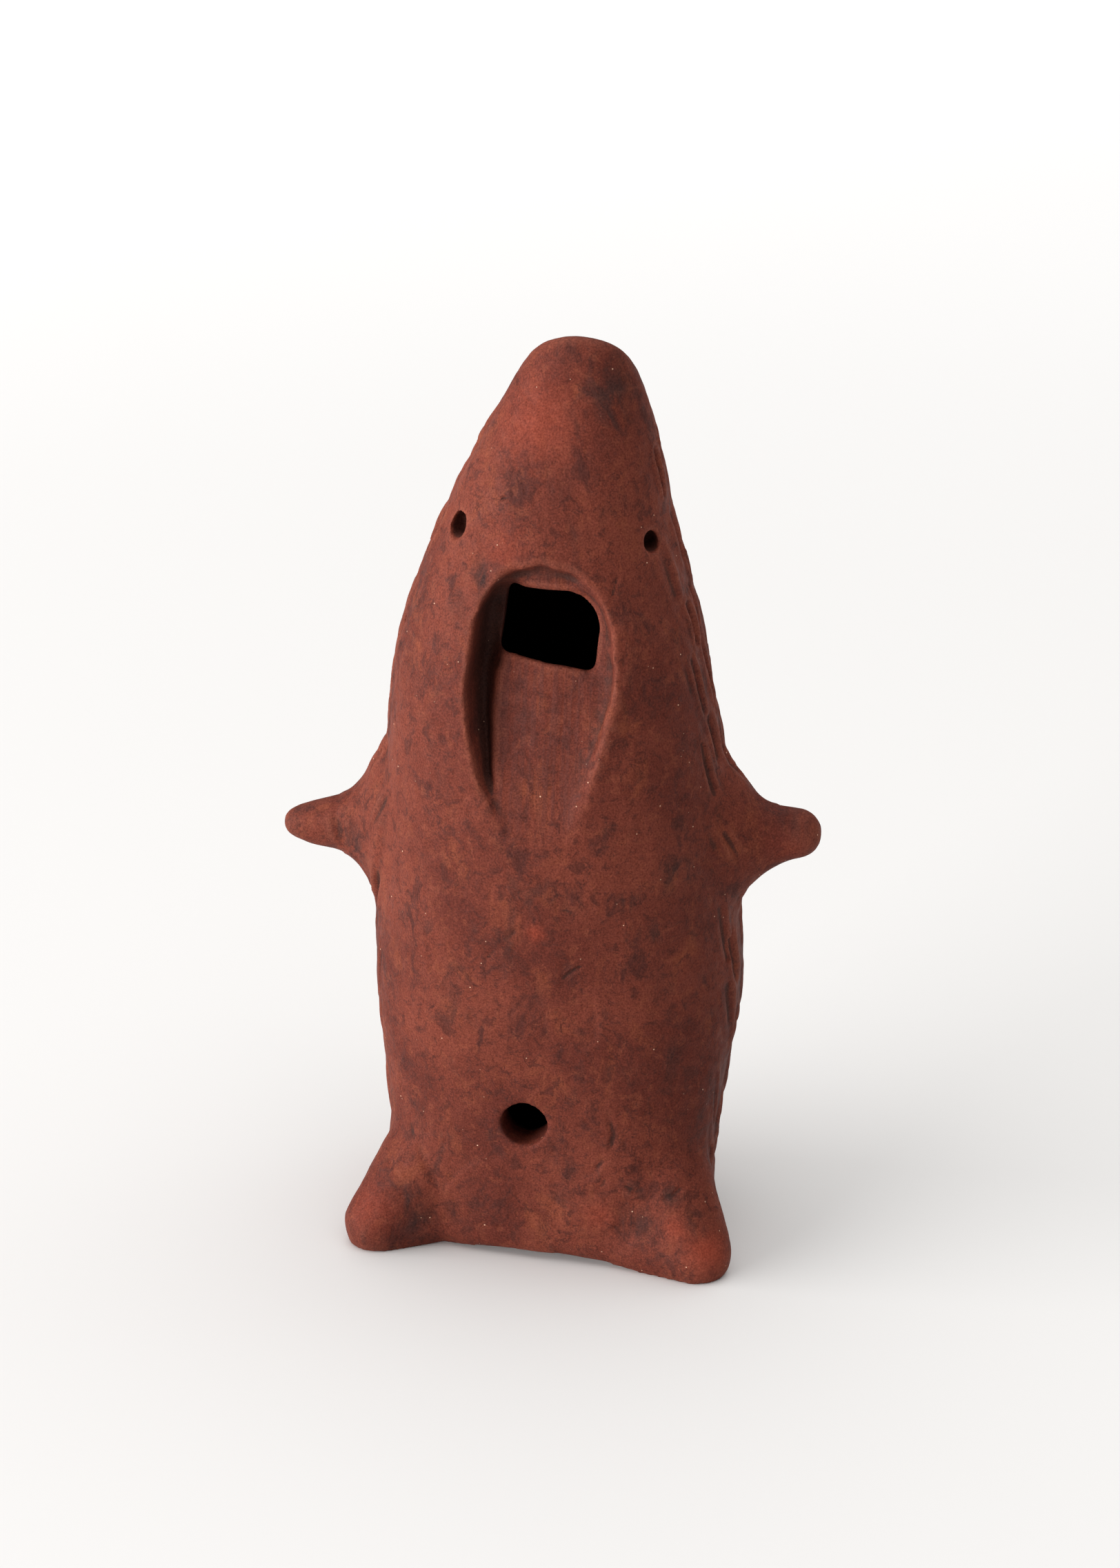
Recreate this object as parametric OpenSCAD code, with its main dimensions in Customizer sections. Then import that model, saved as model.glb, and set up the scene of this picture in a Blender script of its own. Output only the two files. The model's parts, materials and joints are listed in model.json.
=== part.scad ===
// Vessel flute in fired clay, shaped as a small animal that sits up with its snout raised.
// The belly faces -Y, +Z is up and the figure stands on the plane z = 0.
// The origin is on the floor, under the middle of the figure.
// Left and right are the figure's own, so its left arm points along +X.

/* [Chamber] */
// Thickness of the clay wall round the chamber
wall_t = 4.6; // [4.2:0.1:5]
// Height of the base slab, where the two half shells stand on it
base_h = 5.6; // [5:0.1:6.5]
// Distance of the seam between the half shells behind the middle of the figure
seam_y = 1; // [-2:0.5:3]

/* [Voicing] */
// Width of the window
window_w = 10.2; // [9.6:0.1:10.8]
// Height of the sharp edge that splits the air stream
labium_z = 66.8; // [66.2:0.1:67.6]
// Thickness of the sharp edge
labium_t = 0.6; // [0.5:0.1:1]
// Width of the windway where it opens over the window
windway_exit_w = 8.8; // [8:0.1:9.2]
// Width of the windway at the tip of the snout
windway_entry_w = 6.4; // [5.6:0.1:6.8]
// Height of the air stream
windway_t = 1.6; // [1.2:0.1:1.8]

/* [Finger hole] */
// Bore of the finger hole
finger_hole_d = 5; // [4:0.1:6.5]
// Height of the finger hole
finger_hole_z = 16.5; // [15:0.5:22]

/* [Eyes] */
// Width of the pricked eyes
eye_w = 2.4; // [1.6:0.1:2.8]
// Length of the pricked eyes
eye_l = 3.1; // [2.2:0.1:3.6]
// Depth of the pricked eyes
eye_depth = 2.4; // [1.5:0.1:3]

/* [Fineness] */
// Number of sides of the body's rings
ring_sides = 64; // [40:4:72]
// Rings between two stations of the body
ring_steps = 3; // [2:1:3]

/* [Hidden] */

// Size of the blocks that cut whole regions away, and length of the cuts that run out of the front
big = 200;
reach = 30;
clay = "#8c4a36";
clay_dark = "#7a3f30";
clay_light = "#9a5640";

// Top of the shells, where the snout sits on them and the window ends
neck_z = 74.8;
// Slope and foot of the windway's upper face, which is the seam under the roof
windway_slope = 0.28;
windway_y = -9.1;
windway_tilt = atan(windway_slope);
// Middle of the window, and how far it leans to the figure's left
window_x = 1.4;
window_z = 71.2;
window_lean = 7;
// Radii of the window's upper corners
right_corner_r = 2.8;
left_corner_r = 4;
// Face of the recess floor at the sharp edge
labium_y = windway_y + windway_t / 2 - windway_slope * (neck_z - labium_z);
// The recess: its middle, the half width and height of its arched top, its rim and the foot of its ramp
recess_x = 0.9;
recess_z = 69;
recess_half_w = 7;
recess_arch_h = 9;
recess_rim_z = 78.4;
ramp_foot_z = 48;
ramp_slope = 0.3;
// How far the recess comes forward from the window up to its rim
recess_flare = 2.2;
// How far the windway leans to the figure's left, and how long its cut is
windway_lean = 1.6;
windway_length = 30;
finger_hole_x = -0.8;
// How far the eyes' cuts run on past the skin
eye_overrun = 1.2;

// How much thicker the chamber's wall is at the base slab and at the neck, and where that begins
floor_cove = 2.4;
floor_cove_z = base_h + 7;
neck_cove = 1.2;
neck_cove_z = 68;
// How far the chamber's form runs on past the shells that it hollows
chamber_overrun = 4.5;

// Arch under the front of the base slab: radius, height, and where it begins
arch_r = 80;
arch_h = 0.7;
arch_x = 1;
arch_back_y = 1.5;

// Squareness of the back half of the body's rings at most
back_squareness = 2.6;

// Stations of the body from the floor up:
// height, left edge, right edge, front, back, squareness, backward tilt, skew of the front
body_rows = [
    [0, -15.6, 16.6, -12, 11.6, 4.4, 0, -0.1],
    [1.6, -16.8, 17.5, -13.2, 13, 4.2, 0, -0.1],
    [5, -17, 17.6, -13.6, 13.8, 3.6, 0, -0.1],
    [10, -17.2, 17.7, -13.9, 14.4, 3, 0, -0.08],
    [17, -17.9, 18.6, -14.2, 15.4, 2.6, 0, -0.05],
    [26, -18.7, 19.9, -15, 16.2, 2.4, 0, -0.02],
    [35, -18.5, 19.8, -15.6, 16.7, 2.2, 0, 0],
    [44, -17.9, 19.1, -15.9, 16.8, 2.2, 0, 0],
    [53, -17.1, 17.9, -15.8, 16.2, 2.2, 0, 0],
    [62, -16.5, 16.4, -15.2, 14.8, 2.2, 0, 0],
    [70, -14.8, 14.9, -13.9, 12.8, 2.2, 0, 0],
    [77, -12.1, 13.3, -12.3, 10.2, 2.2, 0.02, 0],
    [83, -9.4, 11.9, -10.7, 7.8, 2.2, 0.1, 0],
    [88.5, -6.3, 10.8, -9.2, 5.6, 2.2, 0.25, 0],
    [93, -3.9, 9.9, -7.9, 3.8, 2.2, 0.45, 0],
    [95.8, -2.2, 9, -7, 2.4, 2.2, 0.6, 0],
    [97.2, -0.8, 7.8, -6, 1.2, 2.2, 0.7, 0],
    [97.9, 0.8, 6, -4.6, -0.2, 2, 0.7, 0]
];

// Stations of the arms from the tip inward: distance from the middle, height, half height, half depth
right_arm_rows = [
    [28.9, 43.3, 0.5, 0.5],
    [28.5, 43.3, 1.5, 1.5],
    [27.4, 43.3, 2.3, 2.2],
    [25.4, 43.4, 2.8, 2.6],
    [23.2, 43.5, 3, 2.7],
    [21.6, 43.6, 3.7, 3.1],
    [20.2, 43.8, 5.2, 4.2],
    [19, 43.9, 7.2, 5.4],
    [17.6, 44, 9.4, 7],
    [15.4, 44, 11.4, 8.4]
];
left_arm_rows = [
    [28.3, 45.4, 0.5, 0.5],
    [27.9, 45.4, 1.5, 1.5],
    [26.8, 45.4, 2.4, 2.3],
    [25.2, 45.3, 2.8, 2.6],
    [23.6, 44.9, 3.3, 2.9],
    [22, 44.6, 4.3, 3.6],
    [20.6, 44.4, 5.9, 4.7],
    [19.2, 44.3, 7.6, 5.8],
    [17.6, 44.1, 9.6, 7.2],
    [15.4, 44, 11.6, 8.6]
];
arm_y = 0.5;
// Seats of the arms, just outside the body
right_seat_x = 18.9;
left_seat_x = 20.1;
arm_sides = 28;

// Toes, heels and webs of the feet, as centres and radii of the balls that the feet are drawn between
right_toe = [-17.2, -10.9, 2];
left_toe = [17.4, -12.6, 2];
toe_r = 3.7;
right_heel = [-12.1, -7, 8];
left_heel = [13, -8.2, 8.8];
heel_r = 5.4;
right_web = [-5, -6.6, 4];
left_web = [6, -10, 2.6];
web_r = 3.4;
// Directions in which the feet leave the body, and how far out their seats lie
right_foot_axis = [-0.78, -0.47, -0.41];
left_foot_axis = [0.74, -0.54, -0.4];
right_foot_seat = 16;
left_foot_seat = 17.6;
// Height that divides the arms from the feet
limb_split_z = 20;

// A row between b and c on the smooth curve through a, b, c and d
function blend(a, b, c, d, t) =
    (2 * b + (c - a) * t + (2 * a - 5 * b + 4 * c - d) * t * t + (3 * b - a - 3 * c + d) * t * t * t) / 2;

function pick(rows, i) = rows[max(0, min(len(rows) - 1, i))];

function refined(rows, steps) = [
    for (i = [0 : len(rows) - 2], s = [0 : steps - 1])
        blend(pick(rows, i - 1), rows[i], rows[i + 1], pick(rows, i + 2), s / steps),
    rows[len(rows) - 1]
];

function rounded(value, squareness) = sign(value) * pow(abs(value), 2 / squareness);

// One ring of the body, from a row of body_rows; the back half is never squarer than back_squareness
function body_ring(row) = [
    for (k = [0 : ring_sides - 1])
        let (
            angle = 360 * k / ring_sides,
            squareness = angle < 180 ? min(row[5], back_squareness) : row[5],
            across = rounded(cos(angle), squareness) * (row[2] - row[1]) / 2,
            along = rounded(sin(angle), squareness) * (row[4] - row[3]) / 2
        )
        [
            (row[1] + row[2]) / 2 + across,
            (row[3] + row[4]) / 2 + along + row[7] * across * (along < 0 ? 1 : 0.4),
            row[0] - row[6] * along
        ]
];

function inset(row, amount) = [
    row[0], row[1] + amount, row[2] - amount, row[3] + amount, row[4] - amount, row[5], row[6], row[7]
];

// 0 at the start of a cove and 1 at its end, on a parabola
function cove(z, start, end) = pow(max(0, (z - start) / (end - start)), 2);

// The chamber's wall thickens towards the base slab and the neck, like a thumbed pot
function chamber_inset(z) =
    wall_t + floor_cove * cove(z, floor_cove_z, base_h) + neck_cove * cove(z, neck_cove_z, neck_z + 1);

// A closed skin over rings that all have the same number of points
module skin(rings) {
    sides = len(rings[0]);
    last = len(rings) - 1;
    walls = [
        for (i = [0 : last - 1], k = [0 : sides - 1])
            let (next = (k + 1) % sides)
            [i * sides + k, (i + 1) * sides + k, (i + 1) * sides + next, i * sides + next]
    ];
    bottom = [for (k = [0 : sides - 1]) k];
    top = [for (k = [sides - 1 : -1 : 0]) last * sides + k];
    polyhedron(
        points = [for (ring = rings, point = ring) point],
        faces = concat(walls, [bottom, top]),
        convexity = 6
    );
}

module arm(rows, side) {
    rings = [
        for (row = refined(rows, 2))
            [for (k = [0 : arm_sides - 1])
                [
                    side * row[0],
                    arm_y + row[3] * cos(side * 360 * k / arm_sides),
                    row[1] + row[2] * sin(side * 360 * k / arm_sides)
                ]]
    ];
    skin([for (i = [len(rings) - 1 : -1 : 0]) rings[i]]);
}

module foot(toe, heel, web) {
    hull() {
        translate(toe)
            sphere(r = toe_r, $fn = 32);
        translate(heel)
            sphere(r = heel_r, $fn = 32);
        translate(web)
            sphere(r = web_r, $fn = 32);
    }
}

module body() {
    skin([for (row = refined(body_rows, ring_steps)) body_ring(row)]);
}

module chamber() {
    skin([
        for (row = refined(body_rows, ring_steps))
            if (row[0] > base_h - chamber_overrun && row[0] < neck_z + chamber_overrun)
                body_ring(inset(row, chamber_inset(row[0])))
    ]);
}

// Fingernail outline of the recess round the window, seen from the front
module recess_outline() {
    translate([recess_x, 0])
        polygon(concat(
            [for (angle = [0 : 15 : 180])
                [recess_half_w * cos(angle), recess_z + recess_arch_h * sin(angle)]],
            [[-7.5, 64.5], [-7.1, 60], [-5.8, 55], [-3.4, 50], [2.8, 49.5], [5, 56], [6.4, 61], [7.3, 65.5]]
        ));
}

// Space in front of the ramp and of the window's surround
module recess() {
    intersection() {
        rotate([90, 0, 0])
            linear_extrude(height = reach)
                recess_outline();
        rotate([90, 0, 90])
            linear_extrude(height = reach, center = true)
                polygon([
                    [-reach, ramp_foot_z], [labium_y - ramp_slope * (labium_z - ramp_foot_z), ramp_foot_z],
                    [labium_y, labium_z], [labium_y + 0.1, neck_z - 0.5],
                    [labium_y - recess_flare, recess_rim_z], [-reach, recess_rim_z]
                ]);
    }
}

// Outline of the window seen from the front, with its middle at the origin
module window_outline() {
    top = neck_z - window_z + 0.2;
    hull() {
        translate([-window_w / 2, -6])
            square([window_w, 4]);
        translate([right_corner_r - window_w / 2, top - right_corner_r])
            circle(r = right_corner_r, $fn = 32);
        translate([window_w / 2 - left_corner_r, top - left_corner_r])
            circle(r = left_corner_r, $fn = 32);
    }
}

// Opening from the recess into the chamber, with a bevel behind the sharp edge
module window() {
    edge_z = labium_z - window_z;
    top_z = neck_z - window_z + 1;
    bevel_h = 4;
    bevel_d = 3;
    inner_y = -4;
    translate([window_x, 0, window_z])
        rotate([0, window_lean, 0])
            intersection() {
                rotate([90, 0, 0])
                    linear_extrude(height = reach)
                        window_outline();
                rotate([90, 0, 90])
                    linear_extrude(height = reach, center = true)
                        polygon([
                            [-reach, edge_z], [labium_y + labium_t, edge_z],
                            [labium_y + bevel_d, edge_z - bevel_h], [inner_y, edge_z - bevel_h],
                            [inner_y, top_z], [-reach, top_z]
                        ]);
            }
}

// Moves its children into the plane of the seam under the windway's roof, x across and y up the snout
module on_windway_seam() {
    translate([0, windway_y, neck_z])
        rotate([90 - windway_tilt, 0, 0])
            children();
}

module windway() {
    on_windway_seam()
        translate([window_x, -1, -windway_t])
            linear_extrude(height = windway_t + 1)
                polygon([
                    [-windway_exit_w / 2, 0], [windway_exit_w / 2, 0],
                    [windway_lean + windway_entry_w / 2, windway_length],
                    [windway_lean - windway_entry_w / 2, windway_length]
                ]);
}

// One pricked eye: its place on the skin, which way the stick went in, the lean of its long side, its size
module eye(place, turn, lean, size) {
    translate(place)
        rotate([0, 0, turn])
            rotate([90, 0, 0])
                rotate([0, 0, lean])
                    translate([0, 0, -eye_depth])
                        scale([size * eye_w, size * eye_l, 1])
                            cylinder(d1 = 0.7, d2 = 1, h = eye_depth + eye_overrun, $fn = 20);
}

module eyes() {
    eye([-8.4, -8, 80.3], -24, -24, 1);
    eye([11.2, -6.8, 79.1], 30, 20, 0.85);
}

// The whole figure in one lump of clay, before it is hollowed and divided
module lump() {
    body();
    arm(right_arm_rows, -1);
    arm(left_arm_rows, 1);
    foot(right_toe, right_heel, right_web);
    foot(left_toe, left_heel, left_web);
}

module between(low, high) {
    translate([-big / 2, -big / 2, low])
        cube([big, big, high - low]);
}

// Everything farther out than distance along axis
module beyond(axis, distance) {
    rotate([0, acos(axis[2] / norm(axis)), atan2(axis[1], axis[0])])
        translate([-big / 2, -big / 2, distance])
            cube(big);
}

module in_front_of_roof_seam() {
    on_windway_seam()
        translate([-big / 2, -big / 2, 0])
            cube(big);
}

module limbs_space() {
    beyond([-1, 0, 0], right_seat_x);
    beyond([1, 0, 0], left_seat_x);
    beyond(right_foot_axis, right_foot_seat);
    beyond(left_foot_axis, left_foot_seat);
}

// The part of the lump inside the first child and outside the others, as one closed mesh
module share() {
    resize([0, 0, 0])
        difference() {
            intersection() {
                lump();
                children(0);
            }
            children([1 : $children - 1]);
        }
}

module shell_space() {
    between(base_h, neck_z);
}

module behind_seam() {
    translate([-big / 2, seam_y, -big / 2])
        cube(big);
}

module under_floor() {
    translate([-big / 2, -big / 2, -big])
        cube(big);
}

module belly_shell() {
    color(clay)
        difference() {
            share() {
                shell_space();
                behind_seam();
                limbs_space();
                chamber();
                recess();
                window();
            }
            translate([finger_hole_x, 0, finger_hole_z])
                rotate([90, 0, 0])
                    cylinder(d = finger_hole_d, h = reach, $fn = 48);
        }
}

module back_shell() {
    color(clay_dark)
        share() {
            intersection() {
                shell_space();
                behind_seam();
            }
            limbs_space();
            chamber();
        }
}

// The underside is hollowed a little between the feet, and flat under the heel
module base_slab() {
    color(clay_dark)
        difference() {
            share() {
                between(-reach, base_h);
                limbs_space();
            }
            under_floor();
            translate([arch_x, arch_back_y, arch_h - arch_r])
                rotate([90, 0, 0])
                    cylinder(r = arch_r, h = reach, $fn = 96);
        }
}

module snout_block() {
    color(clay)
        share() {
            between(neck_z, big);
            in_front_of_roof_seam();
            windway();
            eyes();
        }
}

module windway_roof() {
    color(clay_light)
        share() {
            intersection() {
                between(neck_z, big);
                in_front_of_roof_seam();
            }
            recess();
            eyes();
        }
}

// One arm: the lump beyond the seat on its side
module arm_nub(side, seat_x) {
    color(clay_light)
        share() {
            beyond([side, 0, 0], seat_x);
            between(-big, limb_split_z);
        }
}

module left_arm() {
    arm_nub(1, left_seat_x);
}

module right_arm() {
    arm_nub(-1, right_seat_x);
}

// One foot: the lump beyond its seat, with a flat sole
module foot_nub(axis, seat) {
    color(clay)
        difference() {
            share() {
                beyond(axis, seat);
                between(limb_split_z, big);
            }
            under_floor();
        }
}

module left_foot() {
    foot_nub(left_foot_axis, left_foot_seat);
}

module right_foot() {
    foot_nub(right_foot_axis, right_foot_seat);
}

belly_shell();
back_shell();
base_slab();
snout_block();
windway_roof();
left_arm();
right_arm();
left_foot();
right_foot();
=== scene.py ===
import json
import math

import bmesh
import bpy
import numpy as np
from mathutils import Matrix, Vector
from mathutils.bvhtree import BVHTree
from mathutils.kdtree import KDTree

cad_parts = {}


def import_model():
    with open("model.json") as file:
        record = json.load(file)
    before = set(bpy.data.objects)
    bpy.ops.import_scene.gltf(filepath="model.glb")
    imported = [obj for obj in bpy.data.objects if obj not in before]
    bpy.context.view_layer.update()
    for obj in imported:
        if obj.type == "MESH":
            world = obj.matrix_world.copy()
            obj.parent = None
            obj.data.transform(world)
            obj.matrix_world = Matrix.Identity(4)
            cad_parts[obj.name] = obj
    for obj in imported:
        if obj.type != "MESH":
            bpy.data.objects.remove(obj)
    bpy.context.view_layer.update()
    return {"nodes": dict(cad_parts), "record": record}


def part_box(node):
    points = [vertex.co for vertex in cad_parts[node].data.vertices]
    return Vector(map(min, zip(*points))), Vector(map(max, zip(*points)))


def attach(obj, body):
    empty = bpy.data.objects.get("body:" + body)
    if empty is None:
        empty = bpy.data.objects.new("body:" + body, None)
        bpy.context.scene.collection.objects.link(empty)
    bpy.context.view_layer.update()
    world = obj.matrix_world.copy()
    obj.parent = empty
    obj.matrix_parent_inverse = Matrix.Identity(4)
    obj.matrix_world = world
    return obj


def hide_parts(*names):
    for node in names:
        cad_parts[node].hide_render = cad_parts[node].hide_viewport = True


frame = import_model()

# A small animal figure in fired clay, which is a vessel flute. Lengths are in millimetres while the
# skin is worked on, and in metres in every object. Left and right are the figure's own.

MM = 0.001
VOXEL = 0.32


# ---------------------------------------------------------------- short calls into Blender

def read(items, name, width=1, kind=float):
    """One attribute of every item in a Blender collection, as an array with width columns."""
    values = np.zeros(len(items) * width, kind)
    items.foreach_get(name, values)
    return values.reshape(-1, width) if width > 1 else values


def added(name, data):
    """A new object in the scene."""
    made = bpy.data.objects.new(name, data)
    bpy.context.scene.collection.objects.link(made)
    return made


def turned_along(thing, direction):
    """Turns a lamp or a camera so that it looks along a direction."""
    thing.rotation_mode = "QUATERNION"
    thing.rotation_quaternion = direction.to_track_quat("-Z", "Y")


# ---------------------------------------------------------------- places, taken from the CAD nodes

def corners(node):
    low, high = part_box(node)
    return np.array(low) / MM, np.array(high) / MM


NECK_Z = corners("belly_shell")[1][2]
BASE_Z = corners("base_slab")[1][2]
SEAM_Y = corners("back_shell")[0][1]
RIGHT_ARM_X = corners("right_arm")[1][0]
LEFT_ARM_X = corners("left_arm")[0][0]
ARM_Z = (corners("left_arm")[0][2] + corners("right_arm")[1][2]) / 2
LIMB_SPLIT_Z = 20.0
TOP_Z = corners("windway_roof")[1][2]


def largest_flat_face(node, facing):
    """A point on the node's largest flat face on the given side, and the face's normal."""
    mesh = frame["nodes"][node].data
    areas = {}
    planes = {}
    for polygon in mesh.polygons:
        if polygon.normal.dot(facing) > 0.5:
            key = tuple(round(v, 2) for v in polygon.normal)
            areas[key] = areas.get(key, 0.0) + polygon.area
            planes.setdefault(key, (polygon.center.copy(), polygon.normal.copy()))
    point, normal = planes[max(areas, key=areas.get)]
    return np.array(point) / MM, np.array(normal)


# ---------------------------------------------------------------- smooth noise on arrays of points

def hashed(cells, seed):
    """One repeatable number from 0 to 1 for each whole-number cell."""
    x, y, z = (cells[:, i].astype(np.int64) for i in range(3))
    mixed = (x * 73856093) ^ (y * 19349663) ^ (z * 83492791) ^ (seed * 2654435761)
    mixed = (mixed ^ (mixed >> 13)) * 1274126177
    return ((mixed ^ (mixed >> 16)) & 0xFFFFFF) / float(0xFFFFFF)


def noise(points, size, seed):
    """Value noise from -1 to 1; size is one length, or one for each axis."""
    scaled = points / np.asarray(size, float)
    cell = np.floor(scaled)
    t = scaled - cell
    t = t * t * (3 - 2 * t)
    total = np.zeros(len(points))
    for dx in (0, 1):
        for dy in (0, 1):
            for dz in (0, 1):
                weight = np.ones(len(points))
                for axis, step in enumerate((dx, dy, dz)):
                    weight *= t[:, axis] if step else 1 - t[:, axis]
                total += weight * hashed(cell + (dx, dy, dz), seed)
    return total * 2 - 1


def fractal(points, size, seed, octaves):
    """Noise in several octaves, each half the size and half the strength of the one before."""
    size = np.asarray(size, float)
    total = sum(noise(points, size / 2 ** k, seed + 17 * k) / 2 ** k for k in range(octaves))
    return total / sum(1 / 2 ** k for k in range(octaves))


def ramp(value, low, high):
    """0 below low, 1 above high, smooth between them; low may be above high."""
    t = np.clip((value - low) / (high - low), 0, 1)
    return t * t * (3 - 2 * t)


def near(points, centre, reach, inner):
    """1 within inner of a place, falling to 0 at reach."""
    distance = np.linalg.norm(points - np.asarray(centre, float), axis=1)
    return ramp(distance, reach, inner)


# ---------------------------------------------------------------- the skin as arrays

class Skin:
    """The whole figure's surface: points in millimetres, triangles, and the links between points."""

    def __init__(self, mesh):
        self.points = read(mesh.vertices, "co", 3) / MM
        mesh.calc_loop_triangles()
        self.triangles = read(mesh.loop_triangles, "vertices", 3, np.int64)
        self.edges = read(mesh.edges, "vertices", 2, np.int64)
        self.degree = np.bincount(self.edges.ravel(), minlength=len(self.points)).astype(float)

    def averaged(self, values):
        """The mean of each point's neighbours' values."""
        a, b = self.edges[:, 0], self.edges[:, 1]
        count = len(self.points)
        columns = values.reshape(count, -1)
        out = np.empty_like(columns)
        for i in range(columns.shape[1]):
            column = columns[:, i]
            out[:, i] = np.bincount(a, column[b], count) + np.bincount(b, column[a], count)
        return (out / self.degree[:, None]).reshape(values.shape)

    def smoothed(self, values, rounds, amount=0.5):
        for _ in range(rounds):
            values = values + amount * (self.averaged(values) - values)
        return values

    def relax(self, rounds, mask):
        """Smooths the surface where mask is high, and puts back the size that smoothing takes off."""
        before = self.points.copy()
        for _ in range(rounds):
            self.points += 0.5 * mask[:, None] * (self.averaged(self.points) - self.points)
        lost = self.smoothed(self.points - before, max(2, rounds // 2), 0.6)
        self.points -= lost * mask[:, None]

    def fill_hollows(self, rounds, mask):
        """Fills hollow corners where mask is above 0, as smeared clay does; the rest stays as it is."""
        inside = mask > 0
        edges = self.edges[inside[self.edges].any(axis=1)]
        used = np.unique(edges)
        place = np.zeros(len(self.points), np.int64)
        place[used] = np.arange(len(used))
        a, b = place[edges].T
        degree = np.bincount(np.concatenate([a, b]), minlength=len(used))
        moving = inside[used]
        filled = self.points[used].copy()
        for _ in range(rounds):
            for axis in range(3):
                column = filled[:, axis]
                total = np.bincount(a, column[b], len(used)) + np.bincount(b, column[a], len(used))
                filled[moving, axis] += 0.6 * (total / degree - column)[moving]
        lift = np.zeros(len(self.points))
        lift[used] = np.einsum("ij,ij->i", filled - self.points[used], self.normals()[used])
        self.push(np.maximum(lift, 0) * mask)

    def normals(self):
        a, b, c = (self.points[self.triangles[:, i]] for i in range(3))
        faces = np.cross(b - a, c - a)
        total = np.zeros_like(self.points)
        for i in range(3):
            for axis in range(3):
                total[:, axis] += np.bincount(self.triangles[:, i], faces[:, axis], len(self.points))
        return total / np.maximum(np.linalg.norm(total, axis=1), 1e-12)[:, None]

    def push(self, amount):
        """Moves every point along its normal, by an amount in millimetres."""
        self.points += self.normals() * np.asarray(amount)[:, None]


def joined_nodes():
    """The CAD nodes as one mesh, each a hair larger so that neighbours overlap."""
    overlap = 0.03 * MM
    merged = bmesh.new()
    for name in sorted(frame["nodes"]):
        part = bmesh.new()
        part.from_mesh(frame["nodes"][name].data)
        bmesh.ops.remove_doubles(part, verts=part.verts, dist=1e-6)
        bmesh.ops.recalc_face_normals(part, faces=part.faces)
        part.normal_update()
        moves = [(v, v.normal * overlap) for v in part.verts]
        for vertex, move in moves:
            vertex.co += move
        mesh = bpy.data.meshes.new("part")
        part.to_mesh(mesh)
        part.free()
        merged.from_mesh(mesh)
        bpy.data.meshes.remove(mesh)
    mesh = bpy.data.meshes.new("joined")
    merged.to_mesh(mesh)
    merged.free()
    return mesh


def with_modifier(mesh, kind, **settings):
    """The mesh that one modifier makes from another."""
    holder = added("holder", mesh)
    modifier = holder.modifiers.new("step", kind)
    for key, value in settings.items():
        setattr(modifier, key, value)
    bpy.context.view_layer.update()
    evaluated = holder.evaluated_get(bpy.context.evaluated_depsgraph_get())
    made = bpy.data.meshes.new_from_object(evaluated)
    bpy.data.objects.remove(holder)
    return made


clay = Skin(with_modifier(joined_nodes(), "REMESH", mode="VOXEL", voxel_size=VOXEL * MM))
print("skin", len(clay.points), "points")

# ---------------------------------------------------------------- which part of the skin is which

# The window's middle by x and z, and the height of the sharp edge at its foot
WINDOW = (1.4, 71.0)
LABIUM_Z = 66.8
hole_mount = next(m for m in frame["record"]["mounts"] if m["name"] == "finger_hole")
HOLE = (hole_mount["pos_m"][0] / MM, -14.2, hole_mount["pos_m"][2] / MM)
EYES = ((-8.4, -8.0, 80.3), (11.2, -6.8, 79.1))
MOUTH = (3.0, 0, TOP_Z)

# The body's rough shape, which is enough to tell the outside from the chamber
BODY_HEIGHTS = (0, 20, 40, 60, 76)
BODY_HALF_WIDTHS = (16.5, 18.6, 19.2, 16.8, 12.8)
BODY_HALF_DEPTHS = (12.5, 14.8, 16.2, 15.2, 11.8)
BODY_CENTRE = (0.4, 0.4)
BODY_SQUARENESS = 2.3


def inside_of(points):
    """1 on the chamber's wall, 0 on the outside."""
    x, y, z = points.T
    across = (x - BODY_CENTRE[0]) / np.interp(z, BODY_HEIGHTS, BODY_HALF_WIDTHS)
    along = (y - BODY_CENTRE[1]) / np.interp(z, BODY_HEIGHTS, BODY_HALF_DEPTHS)
    reach = np.abs(across) ** BODY_SQUARENESS + np.abs(along) ** BODY_SQUARENESS
    within = ramp(reach ** (1 / BODY_SQUARENESS), 0.79, 0.72)
    return within * ramp(z, NECK_Z + 0.3, NECK_Z - 0.3) * ramp(z, BASE_Z - 0.3, BASE_Z + 0.3)


# Edges of the recess round the window, seen from the front, from its foot to the top of its arch
RECESS_FOOT_Z = 49
RECESS_TOP_Z = 78
RECESS_HEIGHTS = (49.5, 52, 56, 61, 65, 69, 72, 75, 77, 78)
RECESS_RIGHT = (-2.2, -3.5, -5.2, -6.3, -6.6, -6.1, -5.7, -4.3, -2.3, 0.8)
RECESS_LEFT = (3.8, 4.6, 5.9, 7.3, 8.2, 7.9, 7.5, 6.1, 4.1, 1.0)
# How wide the channel along the recess's right edge is
CHANNEL_HEIGHTS = (54, 58.5, 62.5, 66.5, 70, 76)
CHANNEL_WIDTHS = (0.3, 1.0, 1.7, 2.4, 3.2, 2.8)


def recess_of(points, grow=0.0):
    """1 over the recess, falling to 0 across its rim; grow moves the rim outward."""
    x, y, z = points.T
    right = np.interp(z - grow, RECESS_HEIGHTS, RECESS_RIGHT) - grow
    left = np.interp(z - grow, RECESS_HEIGHTS, RECESS_LEFT) + grow
    inward = np.minimum(x - right, left - x)
    top = RECESS_TOP_Z + grow
    upright = ramp(z, RECESS_FOOT_Z, RECESS_FOOT_Z + 3) * ramp(z, top + 0.6, top)
    return ramp(inward, -0.5, 0.4) * ramp(y, -7.0, -9.0) * upright


chamber = inside_of(clay.points)
recess = recess_of(clay.points)
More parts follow.
